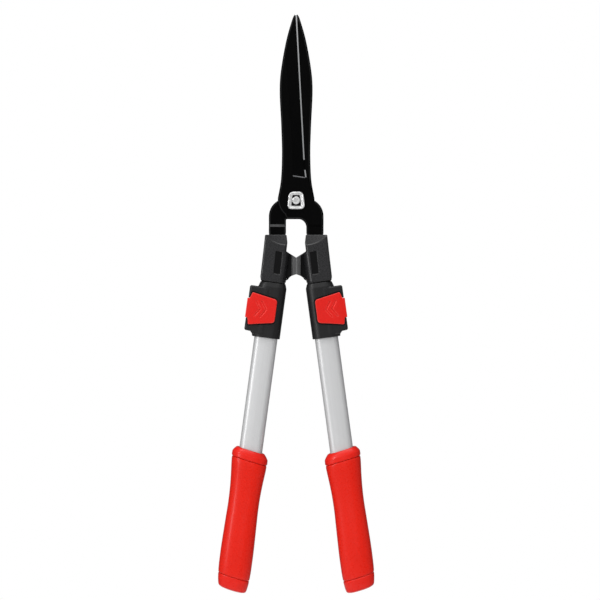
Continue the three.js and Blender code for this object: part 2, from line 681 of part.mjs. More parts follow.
function build() {
  const tool = new THREE.Group();
  const rearBlade = piece('rear_blade', bladeSolid(REAR_CROTCH_ROUND), blackSteel);
  rearBlade.rotation.z = Math.PI;
  const leftSide = new THREE.Group();
  leftSide.scale.x = -1;
  leftSide.add(handle('left'));
  tool.add(piece('front_blade', bladeSolid(FRONT_CROTCH_ROUND), blackSteel), rearBlade);
  tool.add(...pivotHardware(), handle('right'), leftSide);
  return tool;
}

export default build();
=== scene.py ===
"""Looks of the extendable hedge shears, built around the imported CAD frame.

Handle pieces are drawn once for the right side, in millimetres across the handle (outboard
positive), front to back, and down it, and are mirrored for the left. Each is then set to the box
of the CAD node that it replaces.
"""

import json
import math

import bmesh
import bpy
import numpy as np
import openvdb
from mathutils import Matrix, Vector
from mathutils.geometry import delaunay_2d_cdt

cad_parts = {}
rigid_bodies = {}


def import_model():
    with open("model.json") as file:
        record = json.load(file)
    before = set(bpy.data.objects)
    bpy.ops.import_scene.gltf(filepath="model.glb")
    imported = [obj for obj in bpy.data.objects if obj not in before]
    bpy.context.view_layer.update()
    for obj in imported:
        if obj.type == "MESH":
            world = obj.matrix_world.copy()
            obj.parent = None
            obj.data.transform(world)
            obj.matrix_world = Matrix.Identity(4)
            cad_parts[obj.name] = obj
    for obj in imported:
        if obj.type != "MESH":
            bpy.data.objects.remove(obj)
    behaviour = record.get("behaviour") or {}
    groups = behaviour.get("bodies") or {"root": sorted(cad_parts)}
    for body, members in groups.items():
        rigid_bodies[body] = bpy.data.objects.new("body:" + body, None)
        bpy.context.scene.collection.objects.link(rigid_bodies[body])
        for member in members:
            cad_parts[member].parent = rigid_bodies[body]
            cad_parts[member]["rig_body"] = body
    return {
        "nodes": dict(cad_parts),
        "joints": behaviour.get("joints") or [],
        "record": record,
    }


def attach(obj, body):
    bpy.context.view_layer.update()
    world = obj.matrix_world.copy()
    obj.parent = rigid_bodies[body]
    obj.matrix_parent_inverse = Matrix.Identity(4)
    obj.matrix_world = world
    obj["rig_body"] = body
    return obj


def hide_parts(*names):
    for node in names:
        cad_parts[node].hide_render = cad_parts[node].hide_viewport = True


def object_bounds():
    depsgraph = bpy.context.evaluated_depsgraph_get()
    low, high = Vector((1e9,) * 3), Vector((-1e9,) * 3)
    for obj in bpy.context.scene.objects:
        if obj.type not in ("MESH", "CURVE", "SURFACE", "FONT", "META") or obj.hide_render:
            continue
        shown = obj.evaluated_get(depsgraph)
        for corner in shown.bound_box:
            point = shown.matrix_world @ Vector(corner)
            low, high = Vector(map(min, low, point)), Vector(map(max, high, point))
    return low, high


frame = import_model()
cad_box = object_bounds()

MM = 0.001
SIDES = {"right": 1.0, "left": -1.0}
JOINTS = {joint["name"]: joint for joint in frame["joints"]}

# ---------- the handle's own axes, from the record and the CAD tube ----------

DOWN = np.array(JOINTS["right_extension"]["axis"])
ACROSS = np.array([-DOWN[2], 0.0, DOWN[0]])
BACK = np.array([0.0, 1.0, 0.0])


def node_points(node):
    mesh = frame["nodes"][node].data
    points = np.empty(len(mesh.vertices) * 3, np.float32)
    mesh.vertices.foreach_get("co", points)
    return points.reshape(-1, 3).astype(float)


def handle_origin():
    """Where the right handle's centre line passes the height of the origin."""
    reach = node_points("right_outer_tube") @ ACROSS
    middle = (reach.min() + reach.max()) / 2
    return ACROSS * middle - DOWN * (ACROSS[2] * middle / DOWN[2])


ORIGIN = handle_origin()
AXES = np.array([ACROSS, BACK, DOWN])


def to_world(points, side="right"):
    world = np.asarray(points, float) * MM @ AXES + ORIGIN
    return world * [SIDES[side], 1, 1]


def to_handle(points, side="right"):
    return (np.asarray(points, float) * [SIDES[side], 1, 1] - ORIGIN) @ AXES.T / MM


# ---------- materials ----------


def add_node(tree, kind, *values, operation=None, **named):
    """A node with sockets, in their order or by name, set to values or wired to outputs."""
    made = tree.nodes.new(kind)
    if operation:
        made.operation = operation
    sockets = [*zip(made.inputs, values)]
    sockets += [(made.inputs[key.replace("_", " ")], value) for key, value in named.items()]
    for socket, value in sockets:
        if isinstance(value, bpy.types.NodeSocket):
            tree.links.new(value, socket)
        else:
            socket.default_value = value
    return made


class Finish:
    """A procedural material: colour, roughness and relief all vary over the surface."""

    def __init__(self, name, color, roughness, metallic=0.0, local=True, **sockets):
        self.material = bpy.data.materials.new(name)
        self.material.use_nodes = True
        self.tree = self.material.node_tree
        self.shader = self.tree.nodes["Principled BSDF"]
        self.shader.inputs["Base Color"].default_value = (*color, 1)
        self.shader.inputs["Roughness"].default_value = roughness
        self.shader.inputs["Metallic"].default_value = metallic
        for key, value in sockets.items():
            self.shader.inputs[key.replace("_", " ")].default_value = value
        self.color = color
        self.height = None
        if local:
            where = self.node("ShaderNodeAttribute")
            where.attribute_name = "local"
            self.place = where.outputs["Vector"]
        else:
            self.place = self.node("ShaderNodeTexCoord").outputs["Object"]

    def node(self, kind, *values, **named):
        return add_node(self.tree, kind, *values, **named)

    def noise(self, per_mm, stretch=(1, 1, 1), detail=3.0):
        """Noise with about that many features to the millimetre, drawn out along an axis."""
        spread = self.node("ShaderNodeMapping", Vector=self.place, Scale=stretch)
        where = spread.outputs["Vector"]
        made = self.node("ShaderNodeTexNoise", Vector=where, Scale=per_mm / MM, Detail=detail)
        return made.outputs["Fac"]

    def remap(self, value, low, high, start=0.3, stop=0.7):
        made = self.node("ShaderNodeMapRange", value, start, stop, low, high)
        return made.outputs["Result"]

    def tint(self, other, value):
        """Mixes the colour so far with another by value."""
        socket = self.shader.inputs["Base Color"]
        made = self.node("ShaderNodeMix")
        made.data_type = "RGBA"
        colors = [s for s in made.inputs if s.type == "RGBA"]
        if socket.is_linked:
            self.tree.links.new(socket.links[0].from_socket, colors[0])
        else:
            colors[0].default_value = (*self.color, 1)
        colors[1].default_value = (*other, 1)
        self.tree.links.new(value, made.inputs["Factor"])
        self.tree.links.new([s for s in made.outputs if s.type == "RGBA"][0], socket)
        return self

    def roughen(self, value):
        self.tree.links.new(value, self.shader.inputs["Roughness"])
        return self

    def relief(self, value, depth_mm, strength=1.0):
        made = self.node("ShaderNodeBump", Height=value, Strength=strength, Distance=depth_mm * MM)
        if self.height is not None:
            self.tree.links.new(self.height, made.inputs["Normal"])
        self.height = made.outputs["Normal"]
        self.tree.links.new(self.height, self.shader.inputs["Normal"])
        return self

    def worn_and_highlit_edges(self, color, start=0.53, stop=0.62, whole=0.0):
        """Lighter edges, by how far the surface turns: rubbed wear and painted highlight along
        them; whole is how unbroken they are.
        """
        turned = self.node("ShaderNodeNewGeometry").outputs["Pointiness"]
        edges = self.remap(turned, 0, 1, start, stop)
        breaks = self.remap(self.noise(0.35), whole, 1, 0.4, 0.65)
        broken = self.node("ShaderNodeMath", edges, breaks, operation="MULTIPLY")
        return self.tint(color, broken.outputs[0])


def coated_steel(name, grey, level, local=True):
    made = Finish(name, (grey, grey, grey * 1.05), 0.36, 0.0, local, Specular_IOR_Level=level)
    made.tint((grey * 1.6, grey * 1.6, grey * 1.7), made.noise(0.06, (1, 1, 0.3)))
    made.roughen(made.remap(made.noise(0.25, (1, 1, 0.15)), 0.3, 0.42))
    made.relief(made.noise(2.4), 0.006)
    return made.relief(made.noise(1.6, (1, 1, 0.04)), 0.006).material


def ground_steel(name, local=True):
    made = Finish(name, (0.74, 0.75, 0.76), 0.3, 1.0, local)
    made.tint((0.6, 0.61, 0.62), made.noise(0.5, (1, 1, 6)))
    made.roughen(made.remap(made.noise(1.2, (0.2, 0.2, 4)), 0.3, 0.46))
    return made.relief(made.noise(1.5, (0.15, 0.15, 5)), 0.004).material


def plated_steel(name, color=(0.62, 0.63, 0.64), rough=(0.16, 0.3), local=True, metallic=1.0):
    made = Finish(name, color, rough[0], metallic, local)
    made.tint([c * 0.78 for c in color], made.noise(0.3))
    made.roughen(made.remap(made.noise(0.8), *rough))
    return made.relief(made.noise(3.0), 0.004).material


def drawn_aluminium(name, local=True):
    made = Finish(name, (0.56, 0.563, 0.568), 0.44, 0.5, local)
    made.tint((0.51, 0.513, 0.518), made.noise(0.8, (1, 1, 0.01)))
    made.roughen(made.remap(made.noise(1.1, (1, 1, 0.012)), 0.4, 0.52))
    made.relief(made.noise(3.5, (1, 1, 0.008), 1.0), 0.0015)
    return made.relief(made.noise(1.5), 0.0012).material


def moulded(name, color, other, rough, grain_mm, local=True, wear_and_highlight=None, edges=(), **sockets):
    """Injection-moulded plastic with a fine spark-eroded grain."""
    made = Finish(name, color, rough[0], 0.0, local, **sockets)
    made.tint(other, made.noise(0.05))
    # Lighter edges: partly wear, partly painted highlight.
    if wear_and_highlight:
        made.worn_and_highlit_edges(wear_and_highlight, *edges)
    made.roughen(made.remap(made.noise(0.6), *rough))
    made.relief(made.noise(1.4, detail=2.0), grain_mm)
    return made.relief(made.noise(0.12), grain_mm * 3, 0.5).material


def soft_rubber(name, color, other, rough, local=True, **sockets):
    made = Finish(name, color, rough[0], 0.0, local, **sockets)
    made.tint(other, made.noise(0.03))
    made.roughen(made.remap(made.noise(0.4), *rough))
    made.relief(made.noise(1.0, detail=2.0), 0.008)
    return made.relief(made.noise(0.1), 0.08, 0.4).material


RED = (0.57, 0.01, 0.004)
COATED = coated_steel("coated_steel", 0.0006, 0.035)
# Lighter coating for the strips inside the blade's chamfers and the turned blade's joggle crease:
# worn coating, and painted highlight lines where those edges catch the light.
WORN_AND_HIGHLIT = coated_steel("worn_coating_painted_highlight", 0.006, 0.2)
# Lighter grey on the heel step: bared coating, and painted highlight where the step faces the light
# from above.
BARED_AND_HIGHLIT = coated_steel("bared_step_painted_highlight", 0.07, 0.5)
HONED = ground_steel("honed_steel")
CHROME = plated_steel("bright_bezel", (0.74, 0.74, 0.74), (0.1, 0.22), metallic=0.6)
ZINC = plated_steel("zinc_plate")
SPRING = plated_steel("blued_spring", (0.16, 0.17, 0.19), (0.25, 0.4))
ALUMINIUM = drawn_aluminium("drawn_aluminium")
GREY = moulded(
    "grey_plastic", (0.012, 0.012, 0.013), (0.0095, 0.0095, 0.0103), (0.24, 0.32), 0.011,
    wear_and_highlight=(0.036, 0.036, 0.038), Specular_IOR_Level=0.36,
)
# Near-black for the label panel and the bezel's recess floor, and painted shade in the bumpers'
# hollow.
DARK_INSET_AND_SHADE = moulded(
    "dark_inset_and_painted_shade", (0.0025, 0.0025, 0.0028), (0.004, 0.004, 0.0042), (0.4, 0.5), 0.01,
    Specular_IOR_Level=0.08,
)
BLACK = moulded(
    "black_plastic", (0.0056, 0.0056, 0.0062), (0.0042, 0.0042, 0.0046), (0.36, 0.48), 0.012,
    wear_and_highlight=(0.02, 0.02, 0.021), Specular_IOR_Level=0.34,
)
# The rubber's lighter edges give the ribs bright borders: painted highlight, and wear.
RUBBER = moulded(
    "bumper_rubber", (0.05, 0.05, 0.051), (0.04, 0.04, 0.041), (0.3, 0.4), 0.012,
    wear_and_highlight=(0.16, 0.16, 0.163), Specular_IOR_Level=0.5,
)
# The button's lighter pink edges: painted highlight along the rounded edges, and wear.
BUTTON_RED = moulded(
    "button_red", (0.52, 0.009, 0.006), (0.48, 0.0075, 0.0045), (0.28, 0.38), 0.008,
    wear_and_highlight=(0.72, 0.085, 0.07), edges=(0.512, 0.535, 0.5), Specular_IOR_Level=0.2,
)
CAP_RED = moulded(
    "cap_red", RED, (0.53, 0.008, 0.003), (0.26, 0.34), 0.008, wear_and_highlight=(0.66, 0.025, 0.014),
    Specular_IOR_Level=0.25,
)
GRIP_RED = soft_rubber(
    "grip_rubber", (0.56, 0.0095, 0.0025), (0.52, 0.008, 0.002), (0.25, 0.33),
    Specular_IOR_Level=0.24,
)

NODE_FINISHES = {
    "bright_steel": plated_steel("inner_zinc", local=False),
    "spring_steel": plated_steel("inner_spring", (0.3, 0.3, 0.31), (0.2, 0.35), False),
    "aluminium": drawn_aluminium("inner_aluminium", False),
    "housing_plastic": moulded(
        "inner_black", (0.012, 0.012, 0.013), (0.008, 0.008, 0.009), (0.38, 0.5), 0.02, False
    ),
    "guide_plastic": moulded(
        "inner_guide", (0.62, 0.62, 0.58), (0.55, 0.55, 0.5), (0.35, 0.5), 0.02, False
    ),
}

# ---------- meshes ----------


def make_mesh(name, points, faces):
    """A mesh from numpy points in metres and faces of equal size, wound outwards."""
    mesh = bpy.data.meshes.new(name)
    faces = np.asarray(faces, np.int32)
    corners = faces.shape[1]
    mesh.vertices.add(len(points))
    mesh.vertices.foreach_set("co", np.asarray(points, np.float32).ravel())
    mesh.loops.add(faces.size)
    mesh.loops.foreach_set("vertex_index", faces.ravel())
    mesh.polygons.add(len(faces))
    mesh.polygons.foreach_set("loop_start", np.arange(0, faces.size, corners, dtype=np.int32))
    mesh.update(calc_edges=True)
    return mesh


def outwards(points, faces):
    """The faces, all turned over if the closed mesh is inside out."""
    a, b, c = (points[faces[:, k]] for k in (0, 1, 2))
    volume = np.einsum("ij,ij->i", a, np.cross(b, c)).sum()
    if faces.shape[1] == 4:
        d = points[faces[:, 3]]
        volume += np.einsum("ij,ij->i", a, np.cross(c, d)).sum()
    return faces if volume > 0 else faces[:, ::-1]


def add_local(mesh, local):
    """Keeps each point's place along its own part, for grain that runs with it."""
    attribute = mesh.attributes.new("local", "FLOAT_VECTOR", "POINT")
    attribute.data.foreach_set("vector", np.asarray(local, np.float32).ravel())


def take_mesh(bm, name):
    mesh = bpy.data.meshes.new(name)
    bm.to_mesh(mesh)
    bm.free()
    return mesh


def add_object(name, data):
    made = bpy.data.objects.new(name, data)
    bpy.context.scene.collection.objects.link(made)
    return made


def place(mesh, node, materials, sharp=35):
    """Puts the mesh in the scene as the piece that stands for a CAD node."""
    piece = add_object(node + "_look", mesh)
    for material in materials:
        mesh.materials.append(material)
    mesh.shade_smooth()
    if sharp:
        mesh.set_sharp_from_angle(angle=math.radians(sharp))
    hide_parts(node)
    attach(piece, frame["nodes"][node]["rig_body"])
    return piece


def fit(points, target):
    """Sets the points to the box that the target's points fill."""
    scale = (target.max(0) - target.min(0)) / (points.max(0) - points.min(0))
    return (points - points.min(0)) * scale + target.min(0)


def make_look(name, world, local, faces, paint=None):
    """A closed mesh that keeps each point's place in its part; paint picks materials by place."""
    mesh = make_mesh(name, world, outwards(world, faces))
    add_local(mesh, local * MM)
    if paint is not None:
        mesh.polygons.foreach_set("material_index", paint(local[faces].mean(1)).astype(np.int32))
    return mesh


def on_handles(part, points, faces, slot, materials, fitted=True, paint=None, sharp=35):
    """Makes the right and the left piece of a handle part from one set of points."""
    points = np.asarray(points, float)
    if fitted:
        points = fit(points, to_handle(node_points(f"right_{part}")))
    for side in SIDES:
        node = f"{side}_{part}"
        mesh = make_look(node + "_look", to_world(points, side), points, faces, paint)
        place(mesh, node, materials, sharp)


# ---------- fields: signed distances in millimetres ----------


def meet(a, b, round_=0.0):
    """Where both fields are inside, with the edge between them rounded."""
    if not round_:
        return np.maximum(a, b)
    corner = np.hypot(np.maximum(a + round_, 0), np.maximum(b + round_, 0))
    return np.minimum(np.maximum(a, b) + round_, 0) + corner - round_


def cut(a, b, round_=0.0):
    return meet(a, -b, round_)


def join(a, b, round_=0.0):
    return -meet(-a, -b, round_)


def between(value, low, high):
    return np.maximum(low - value, value - high)


def brick(t, y, s, across, depth, drop):
    return meet(meet(between(t, *across), between(y, *depth)), between(s, *drop))


def outline_field(x, y, outline):
    """Distance to a closed outline, negative inside."""
    shape = np.broadcast(x, y).shape
    nearest = np.full(shape, 1e9, np.float32)
    inside = np.zeros(shape, bool)
    for (ax, ay), (bx, by) in zip(outline, outline[1:] + outline[:1]):
        ex, ey = bx - ax, by - ay
        px, py = x - ax, y - ay
        along = np.clip((px * ex + py * ey) / (ex * ex + ey * ey), 0, 1)
        nearest = np.minimum(nearest, (px - ex * along) ** 2 + (py - ey * along) ** 2)
        if ey:
            inside ^= ((ay > y) != (by > y)) & (px < py * ex / ey)
    return np.where(inside, -1, 1) * np.sqrt(nearest)


def oval_field(t, y, half_width, half_depth, round_, middle=0.0):
    across = np.abs(t - middle) - half_width + round_
    deep = np.abs(y) - half_depth + round_
    corner = np.hypot(np.maximum(across, 0), np.maximum(deep, 0))
    return np.minimum(np.maximum(across, deep), 0) + corner - round_


def rod_field(t, s, center, radius):
    return np.hypot(t - center[0], s - center[1]) - radius


def soften(corners, steps=5):
    """A closed outline from (x, y) or (x, y, corner radius)."""
    outline = []
    count = len(corners)
    for i, corner in enumerate(corners):
        here = Vector(corner[:2])
        radius = corner[2] if len(corner) > 2 else 0
        if not radius:
            outline.append(tuple(here))
            continue
        before = (Vector(corners[i - 1][:2]) - here).normalized()
        after = (Vector(corners[(i + 1) % count][:2]) - here).normalized()
        half = before.angle(after) / 2
        middle = here + (before + after).normalized() * (radius / math.sin(half))
        reach = radius / math.tan(half)
        first, last = here + before * reach, here + after * reach
        start = math.atan2(*(first - middle).yx)
        turn = (math.atan2(*(last - middle).yx) - start + math.pi) % (2 * math.pi) - math.pi
        for k in range(steps + 1):
            angle = start + turn * k / steps
            outline.append(
                (middle.x + radius * math.cos(angle), middle.y + radius * math.sin(angle))
            )
    return outline


def bend(start, control, end, steps=6):
    """Points of a quadratic curve after its start."""
    ts = [k / steps for k in range(1, steps + 1)]
    return [
        tuple(
            (1 - t) ** 2 * a + 2 * t * (1 - t) * b + t * t * c
            for a, b, c in zip(start, control, end)
        )
        for t in ts
    ]


def field_mesh(field, low, high, step):
    """Points and quads where the field is zero, within a box of the handle."""
    axes = [
        np.arange(a - 2 * step, b + 3 * step, step, dtype=np.float32) for a, b in zip(low, high)
    ]
    t, y, s = axes[0][:, None, None], axes[1][None, :, None], axes[2][None, None, :]
    values = np.broadcast_to(field(t, y, s), [len(axis) for axis in axes])
    grid = openvdb.FloatGrid(10.0)
    grid.copyFromArray(np.array(values, np.float32, order="C"))
    points, quads = grid.convertToQuads(0)
    start = np.array([axis[0] for axis in axes], float)
    return start + np.asarray(points, float) * step, np.asarray(quads, np.int64)


# ---------- housing and bumper ----------

PARTING = 0.15
PARTING_ROUND = 0.25
SHELL_STEP = 0.45
INNER_TUBE_BORE = (12.8, 6.8, 5.8)
SPIGOT = (14.3, 8.3, 7.3)  # of the collar, which enters the housing
SPIGOT_RECESS = (14.6, 8.6, 7.6)
HOUSING_FACE = 11.0
HOUSING_SLOPE = (0.574, 0.819)  # the side that falls away inboard, at 55 degrees
HOUSING = soften([
    (-8, 18.2, 1.2), (17.4, 21.7, 1.2), (16.9, 40), (16.3, 72), (15, 76.5, 0.8),
    (-14.4, 76.5, 0.8), (-14.9, 72), (-14.7, 39.8), (-10.4, 37.8, 1), (-10.2, 27),
])
LABEL_PANEL = soften([(-6, 39.6, 1), (2, 39, 1), (1.2, 66.4, 1), (-6.8, 66.4, 1)])
TANG_SLOT = [
    (-7.8, 10), (13.9, 10), (13.6, 26), (9.6, 34), (9.6, 60), (-9.6, 60), (-9.6, 34), (-7.6, 24),
]
HOUSING_SCREWS = {"upper": (2.8, 26.5), "lower": (13, 40.5)}
LABEL_DEPTH = 0.8
TONGUE = [(-13, 41.7), (-17.1, 41.7), (-17.1, 68.4), (-13, 70.4)]


def screw_seats(body, t, y, s, centers, face):
    """Counterbores for the screw heads, in the back."""
    for center in centers.values():
        body = cut(body, meet(rod_field(t, s, center, 3.2), face - y), 0.25)
    return body


def housing_body(t, y, s):
    faces = np.abs(y) - HOUSING_FACE
    body = meet(outline_field(t, s, HOUSING), faces, 2.2)
    slope = HOUSING_SLOPE[0] * faces - HOUSING_SLOPE[1] * (t + 10)
    body = meet(body, slope, 2.2)
    brow = 30.7 - ((t + 6.1) / 23.1) ** 2 * 7.5
    scoop = HOUSING_FACE - 0.6 - 0.36 * (brow - s) - np.abs(y)
    body = cut(body, np.maximum(scoop, s - brow), 0.35)
    label = meet(outline_field(t, s, LABEL_PANEL), y + HOUSING_FACE - LABEL_DEPTH)
    body = cut(body, label, 0.2)
    body = np.minimum(body, meet(outline_field(t, s, TONGUE), np.abs(y) - 2.5))
    body = cut(body, meet(outline_field(t, s, TANG_SLOT), np.abs(y) - 2.3), 0.2)
    body = cut(body, meet(oval_field(t, y, *INNER_TUBE_BORE), 45.7 - s))
    body = cut(body, meet(oval_field(t, y, *SPIGOT_RECESS), 75.3 - s))
    return screw_seats(body, t, y, s, HOUSING_SCREWS, 8.1)


def make_shells(part, body, low, high, slot, materials, paint=None):
    """The front and back halves of a moulded body, parted in the middle."""
    def front_half(t, y, s):
        return meet(body(t, y, s), y + PARTING, PARTING_ROUND)

    def back_half(t, y, s):
        return meet(body(t, y, s), PARTING - y, PARTING_ROUND)

    points, quads = field_mesh(front_half, low, (high[0], 0, high[2]), SHELL_STEP)
    on_handles(f"{part}_front", points, quads, slot, materials, paint=paint, sharp=0)
    points, quads = field_mesh(back_half, (low[0], 0, low[2]), high, SHELL_STEP)
    on_handles(f"{part}_back", points, quads, slot, materials[:1], sharp=0)


def label_paint(middle):
    outline = outline_field(middle[:, 0], middle[:, 2], LABEL_PANEL)
    return (outline < 0.1) & (np.abs(middle[:, 1] + HOUSING_FACE - LABEL_DEPTH) < 0.35)


def make_housings():
    make_shells(
        "housing", housing_body, (-18, -HOUSING_FACE, 18), (18, HOUSING_FACE, 77),
        "housing_plastic", [GREY, DARK_INSET_AND_SHADE], label_paint,
    )


BUMPER = [
    (-14.76, 39.8), (-14.95, 72.4), (-16.8, 71),
    *bend((-16.8, 71), (-18.3, 66.2), (-25.67, 63.4)), (-23, 43.6),
]
TONGUE_SLOT = [(-13, 41.4), (-17.4, 41.4), (-17.4, 68.7), (-13, 70.7)]


def contact_depth(t, s):
    """Distance outboard from the face that meets the other bumper."""
    return t + 23 + (s - 43.6) * 0.1364


def bumper_field(t, y, s):
    deep = np.abs(y)
    contact = contact_depth(t, s)
    body = meet(outline_field(t, s, BUMPER), deep - 8, 0.5)
    waist = meet(5.2 - contact, 3.4 - deep)
    body = cut(body, waist, 0.3)
    groove = meet(np.abs(contact - 3.9) - 0.45, 7.1 - deep)
    return cut(cut(body, groove, 0.3), meet(outline_field(t, s, TONGUE_SLOT), deep - 2.8))


def painted_recess_shade(middle):
    """Painted shade: the hollow between the contact ribs and the housing, whose faces take the
    near-black material.
    """
    contact = contact_depth(middle[:, 0], middle[:, 2])
    return (contact > 5.3) & (np.abs(middle[:, 1]) < 6.5)


def make_bumpers():
    points, quads = field_mesh(bumper_field, (-26, -8, 39), (-14, 8, 73), 0.3)
    # The hollow's faces get the near-black material as painted shade.
    on_handles("bumper", points, quads, "bumper_rubber", [RUBBER, DARK_INSET_AND_SHADE], False, painted_recess_shade, 0)


# ---------- lock collar and button ----------

COLLAR_FACE = 12.0
COLLAR_BOX = soften([
    (3, 83.4), (25.8, 83.4, 1), (27, 85, 1), (27, 136, 1), (25.8, 137.5, 1), (19.6, 138, 1.5),
    (17, 141), (3, 141),
])
BUTTON = soften([
    (-7.8, 97.1, 4), (22.7, 91.7, 1.4), (25.2, 98.9, 0.4), (28, 99, 0.6), (28, 122, 0.6),
    (25.0, 122.2, 0.4), (23.4, 130.1, 1.4), (-7.8, 124.5, 4),
])
COLLAR_SCREWS = {"upper": (22.3, 89.5), "lower": (23.3, 131.8)}


def collar_body(t, y, s):
    deep = np.abs(y)
    sleeve = oval_field(t, y, 16.9, COLLAR_FACE, 10.5, 0.2) + 0.34 * np.maximum(0, 82.5 - s)
    sleeve = meet(sleeve, between(s, 77, 143.5), 0.6)
    side_box = meet(outline_field(t, s, COLLAR_BOX), deep - COLLAR_FACE, 2.4)
    body = join(sleeve, side_box, 0.8)
    body = np.minimum(body, meet(oval_field(t, y, *SPIGOT), between(s, 75.6, 78)))
    bed = meet(outline_field(t, s, BUTTON) - 1.3, COLLAR_FACE - 0.7 - deep)
    body = cut(body, bed, 0.35)
    body = cut(body, meet(oval_field(t, y, *SPIGOT), 78.5 - s))
    body = cut(body, oval_field(t, y, *INNER_TUBE_BORE), 0.4)
    window = meet(20.6 - t, between(s, 98.5, 122.5), 0.3)
    body = cut(body, window, 0.3)
    body = cut(body, brick(t, y, s, (10, 22.4), (-4, 4), (95, 128)))
    body = cut(body, brick(t, y, s, (19.2, 20.4), (-3, 3), (126, 133.2)))
    return screw_seats(body, t, y, s, COLLAR_SCREWS, 9.1)


def make_collars():
    make_shells(
        "collar", collar_body, (-17, -COLLAR_FACE, 75.6), (27, COLLAR_FACE, 144),
        "collar_plastic", [BLACK],
    )


def stroke_field(t, s, line, half_width):
    nearest = np.full(np.broadcast(t, s).shape, 1e9, np.float32)
    for (ax, ay), (bx, by) in zip(line, line[1:]):
        ex, ey = bx - ax, by - ay
        along = np.clip(((t - ax) * ex + (s - ay) * ey) / (ex * ex + ey * ey), 0, 1)
        nearest = np.minimum(nearest, np.hypot(t - ax - ex * along, s - ay - ey * along))
    return nearest - half_width


def button_field(t, y, s):
    deep = np.abs(y)
    plate = meet(outline_field(t, s, BUTTON), deep - 14.3, 1.1)
    facet = (deep - 14.3 + 0.13 * (t - 19.5)) * 0.99
    plate = meet(plate, facet, 0.6)
    for shift in (0, 7):
        chevron = [(10 + shift, 101.4), (4 + shift, 110.3), (10 + shift, 119.2)]
        plate = cut(plate, meet(stroke_field(t, s, chevron, 0.8), 13.8 - deep), 0.3)
    plate = cut(plate, deep - 12.3)
    wall = meet(meet(between(t, 24.5, 28), between(s, 99, 122), 0.8), deep - 12.8)
    presser = brick(t, y, s, (20.2, 25.5), (-2, 2), (99.6, 102))
    return np.minimum(np.minimum(plate, wall), presser)


def make_buttons():
    points, quads = field_mesh(button_field, (-8, -14.3, 91), (28, 14.3, 131), 0.3)
    on_handles("lock_button", points, quads, "red_plastic", [BUTTON_RED], sharp=0)


# ---------- rings: tubes and grips ----------


def ring_mesh(rings, closed=True):
    """Quads through rings of equal length; closed joins the last ring to the first."""
    count, around = len(rings), len(rings[0])
    points = np.concatenate(rings)
    faces = []
    for i in range(count if closed else count - 1):
        j = (i + 1) % count
        for k in range(around):
            m = (k + 1) % around
            faces.append((i * around + k, i * around + m, j * around + m, j * around + k))
    return points, np.array(faces)


TUBE_CROWN = 0.35  # how far the broad flats bow out
FLAT_STEPS = 12


def flat_oval(half_width, half_depth, round_, drop, steps=12):
    """A level ring of a tube: four arcs joined by flats, which bow out very slightly."""
    points = []
    for quarter in range(4):
        sign_t, sign_y = ((1, 1), (-1, 1), (-1, -1), (1, -1))[quarter]
        arc = []
        for k in range(steps + 1):
            angle = (quarter + k / steps) * math.pi / 2
            arc.append((
                sign_t * (half_width - round_) + round_ * math.cos(angle),
                sign_y * (half_depth - round_) + round_ * math.sin(angle),
            ))
        points += arc
        if sign_t * sign_y > 0:
            flat = half_width - round_
            points += [
                (sign_t * flat * (1 - 2 * k / FLAT_STEPS), arc[-1][1]) for k in range(1, FLAT_STEPS)
            ]
    points = np.array([(*p, drop) for p in points])
    crown = TUBE_CROWN * np.minimum(np.abs(points[:, 0]) / (half_width - round_), 1) ** 2
    points[:, 1] -= np.sign(points[:, 1]) * np.minimum(crown, np.abs(points[:, 1]))
    return points


def tube_rings(half_width, half_depth, round_, wall, top, bottom):
    """Rings up the outside and down the inside, with the end corners broken."""
    def at(inset, drop):
        return flat_oval(half_width - inset, half_depth - inset, round_ - inset, drop)

    edge = 0.25
    outside = [(edge, top), (0, top + edge), (0, bottom - edge), (edge, bottom)]
    inside = [(wall - edge, bottom), (wall, bottom - edge), (wall, top + edge), (wall - edge, top)]
    return [at(*station) for station in outside + inside]


def subtract_bricks(points, faces, bricks):
    """The closed mesh with bricks cut out of it, as points and triangles."""
    mesh = make_mesh("cut_target", points, outwards(points, faces))
    target = add_object("cut_target", mesh)
    cutters = []
    for across, depth, drop in bricks:
        bm = bmesh.new()
        bmesh.ops.create_cube(bm, size=1)
        for vertex in bm.verts:
            vertex.co = [
                low + (co + 0.5) * (high - low)
                for co, (low, high) in zip(vertex.co, (across, depth, drop))
            ]
        edges = [e for e in bm.edges if abs(e.verts[0].co.x - e.verts[1].co.x) > 0.5]
        bmesh.ops.bevel(bm, geom=edges, offset=1.0, segments=4, affect="EDGES", profile=0.5)
        cutter = add_object("cutter", take_mesh(bm, "cutter"))
        modifier = target.modifiers.new("cut", "BOOLEAN")
        modifier.object, modifier.operation, modifier.solver = cutter, "DIFFERENCE", "EXACT"
        cutters.append(cutter)
    result = target.evaluated_get(bpy.context.evaluated_depsgraph_get()).to_mesh()
    result.calc_loop_triangles()
    made = np.array([v.co for v in result.vertices], float)
    triangles = np.array([t.vertices for t in result.loop_triangles], np.int64)
    for thing in [target, *cutters]:
        bpy.data.objects.remove(thing)
    return made, triangles


def make_tubes():
    points, faces = ring_mesh(tube_rings(14, 8, 7, 1.2, 84, 440))
    points, faces = subtract_bricks(points, faces, [((9, 17), (-3.1, 3.1), (116.6, 125.4))])
    on_handles("outer_tube", points, faces, "aluminium", [ALUMINIUM], sharp=30)
    points, faces = ring_mesh(tube_rings(12.5, 6.5, 5.5, 1.2, 46, 344))
    slots = [((9.5, 15.5), (-3, 3), (116.9 + 50 * k, 125.1 + 50 * k)) for k in range(5)]
    points, faces = subtract_bricks(points, faces, slots)
    on_handles("inner_tube", points, faces, "aluminium", [ALUMINIUM], sharp=30)


GRIP_SLANT = 0.167
GRIP_STEPS = 96
SKIN_POWER = 2.5  # how square a ring is: 2 is an ellipse
BORE_POWER = 3.6


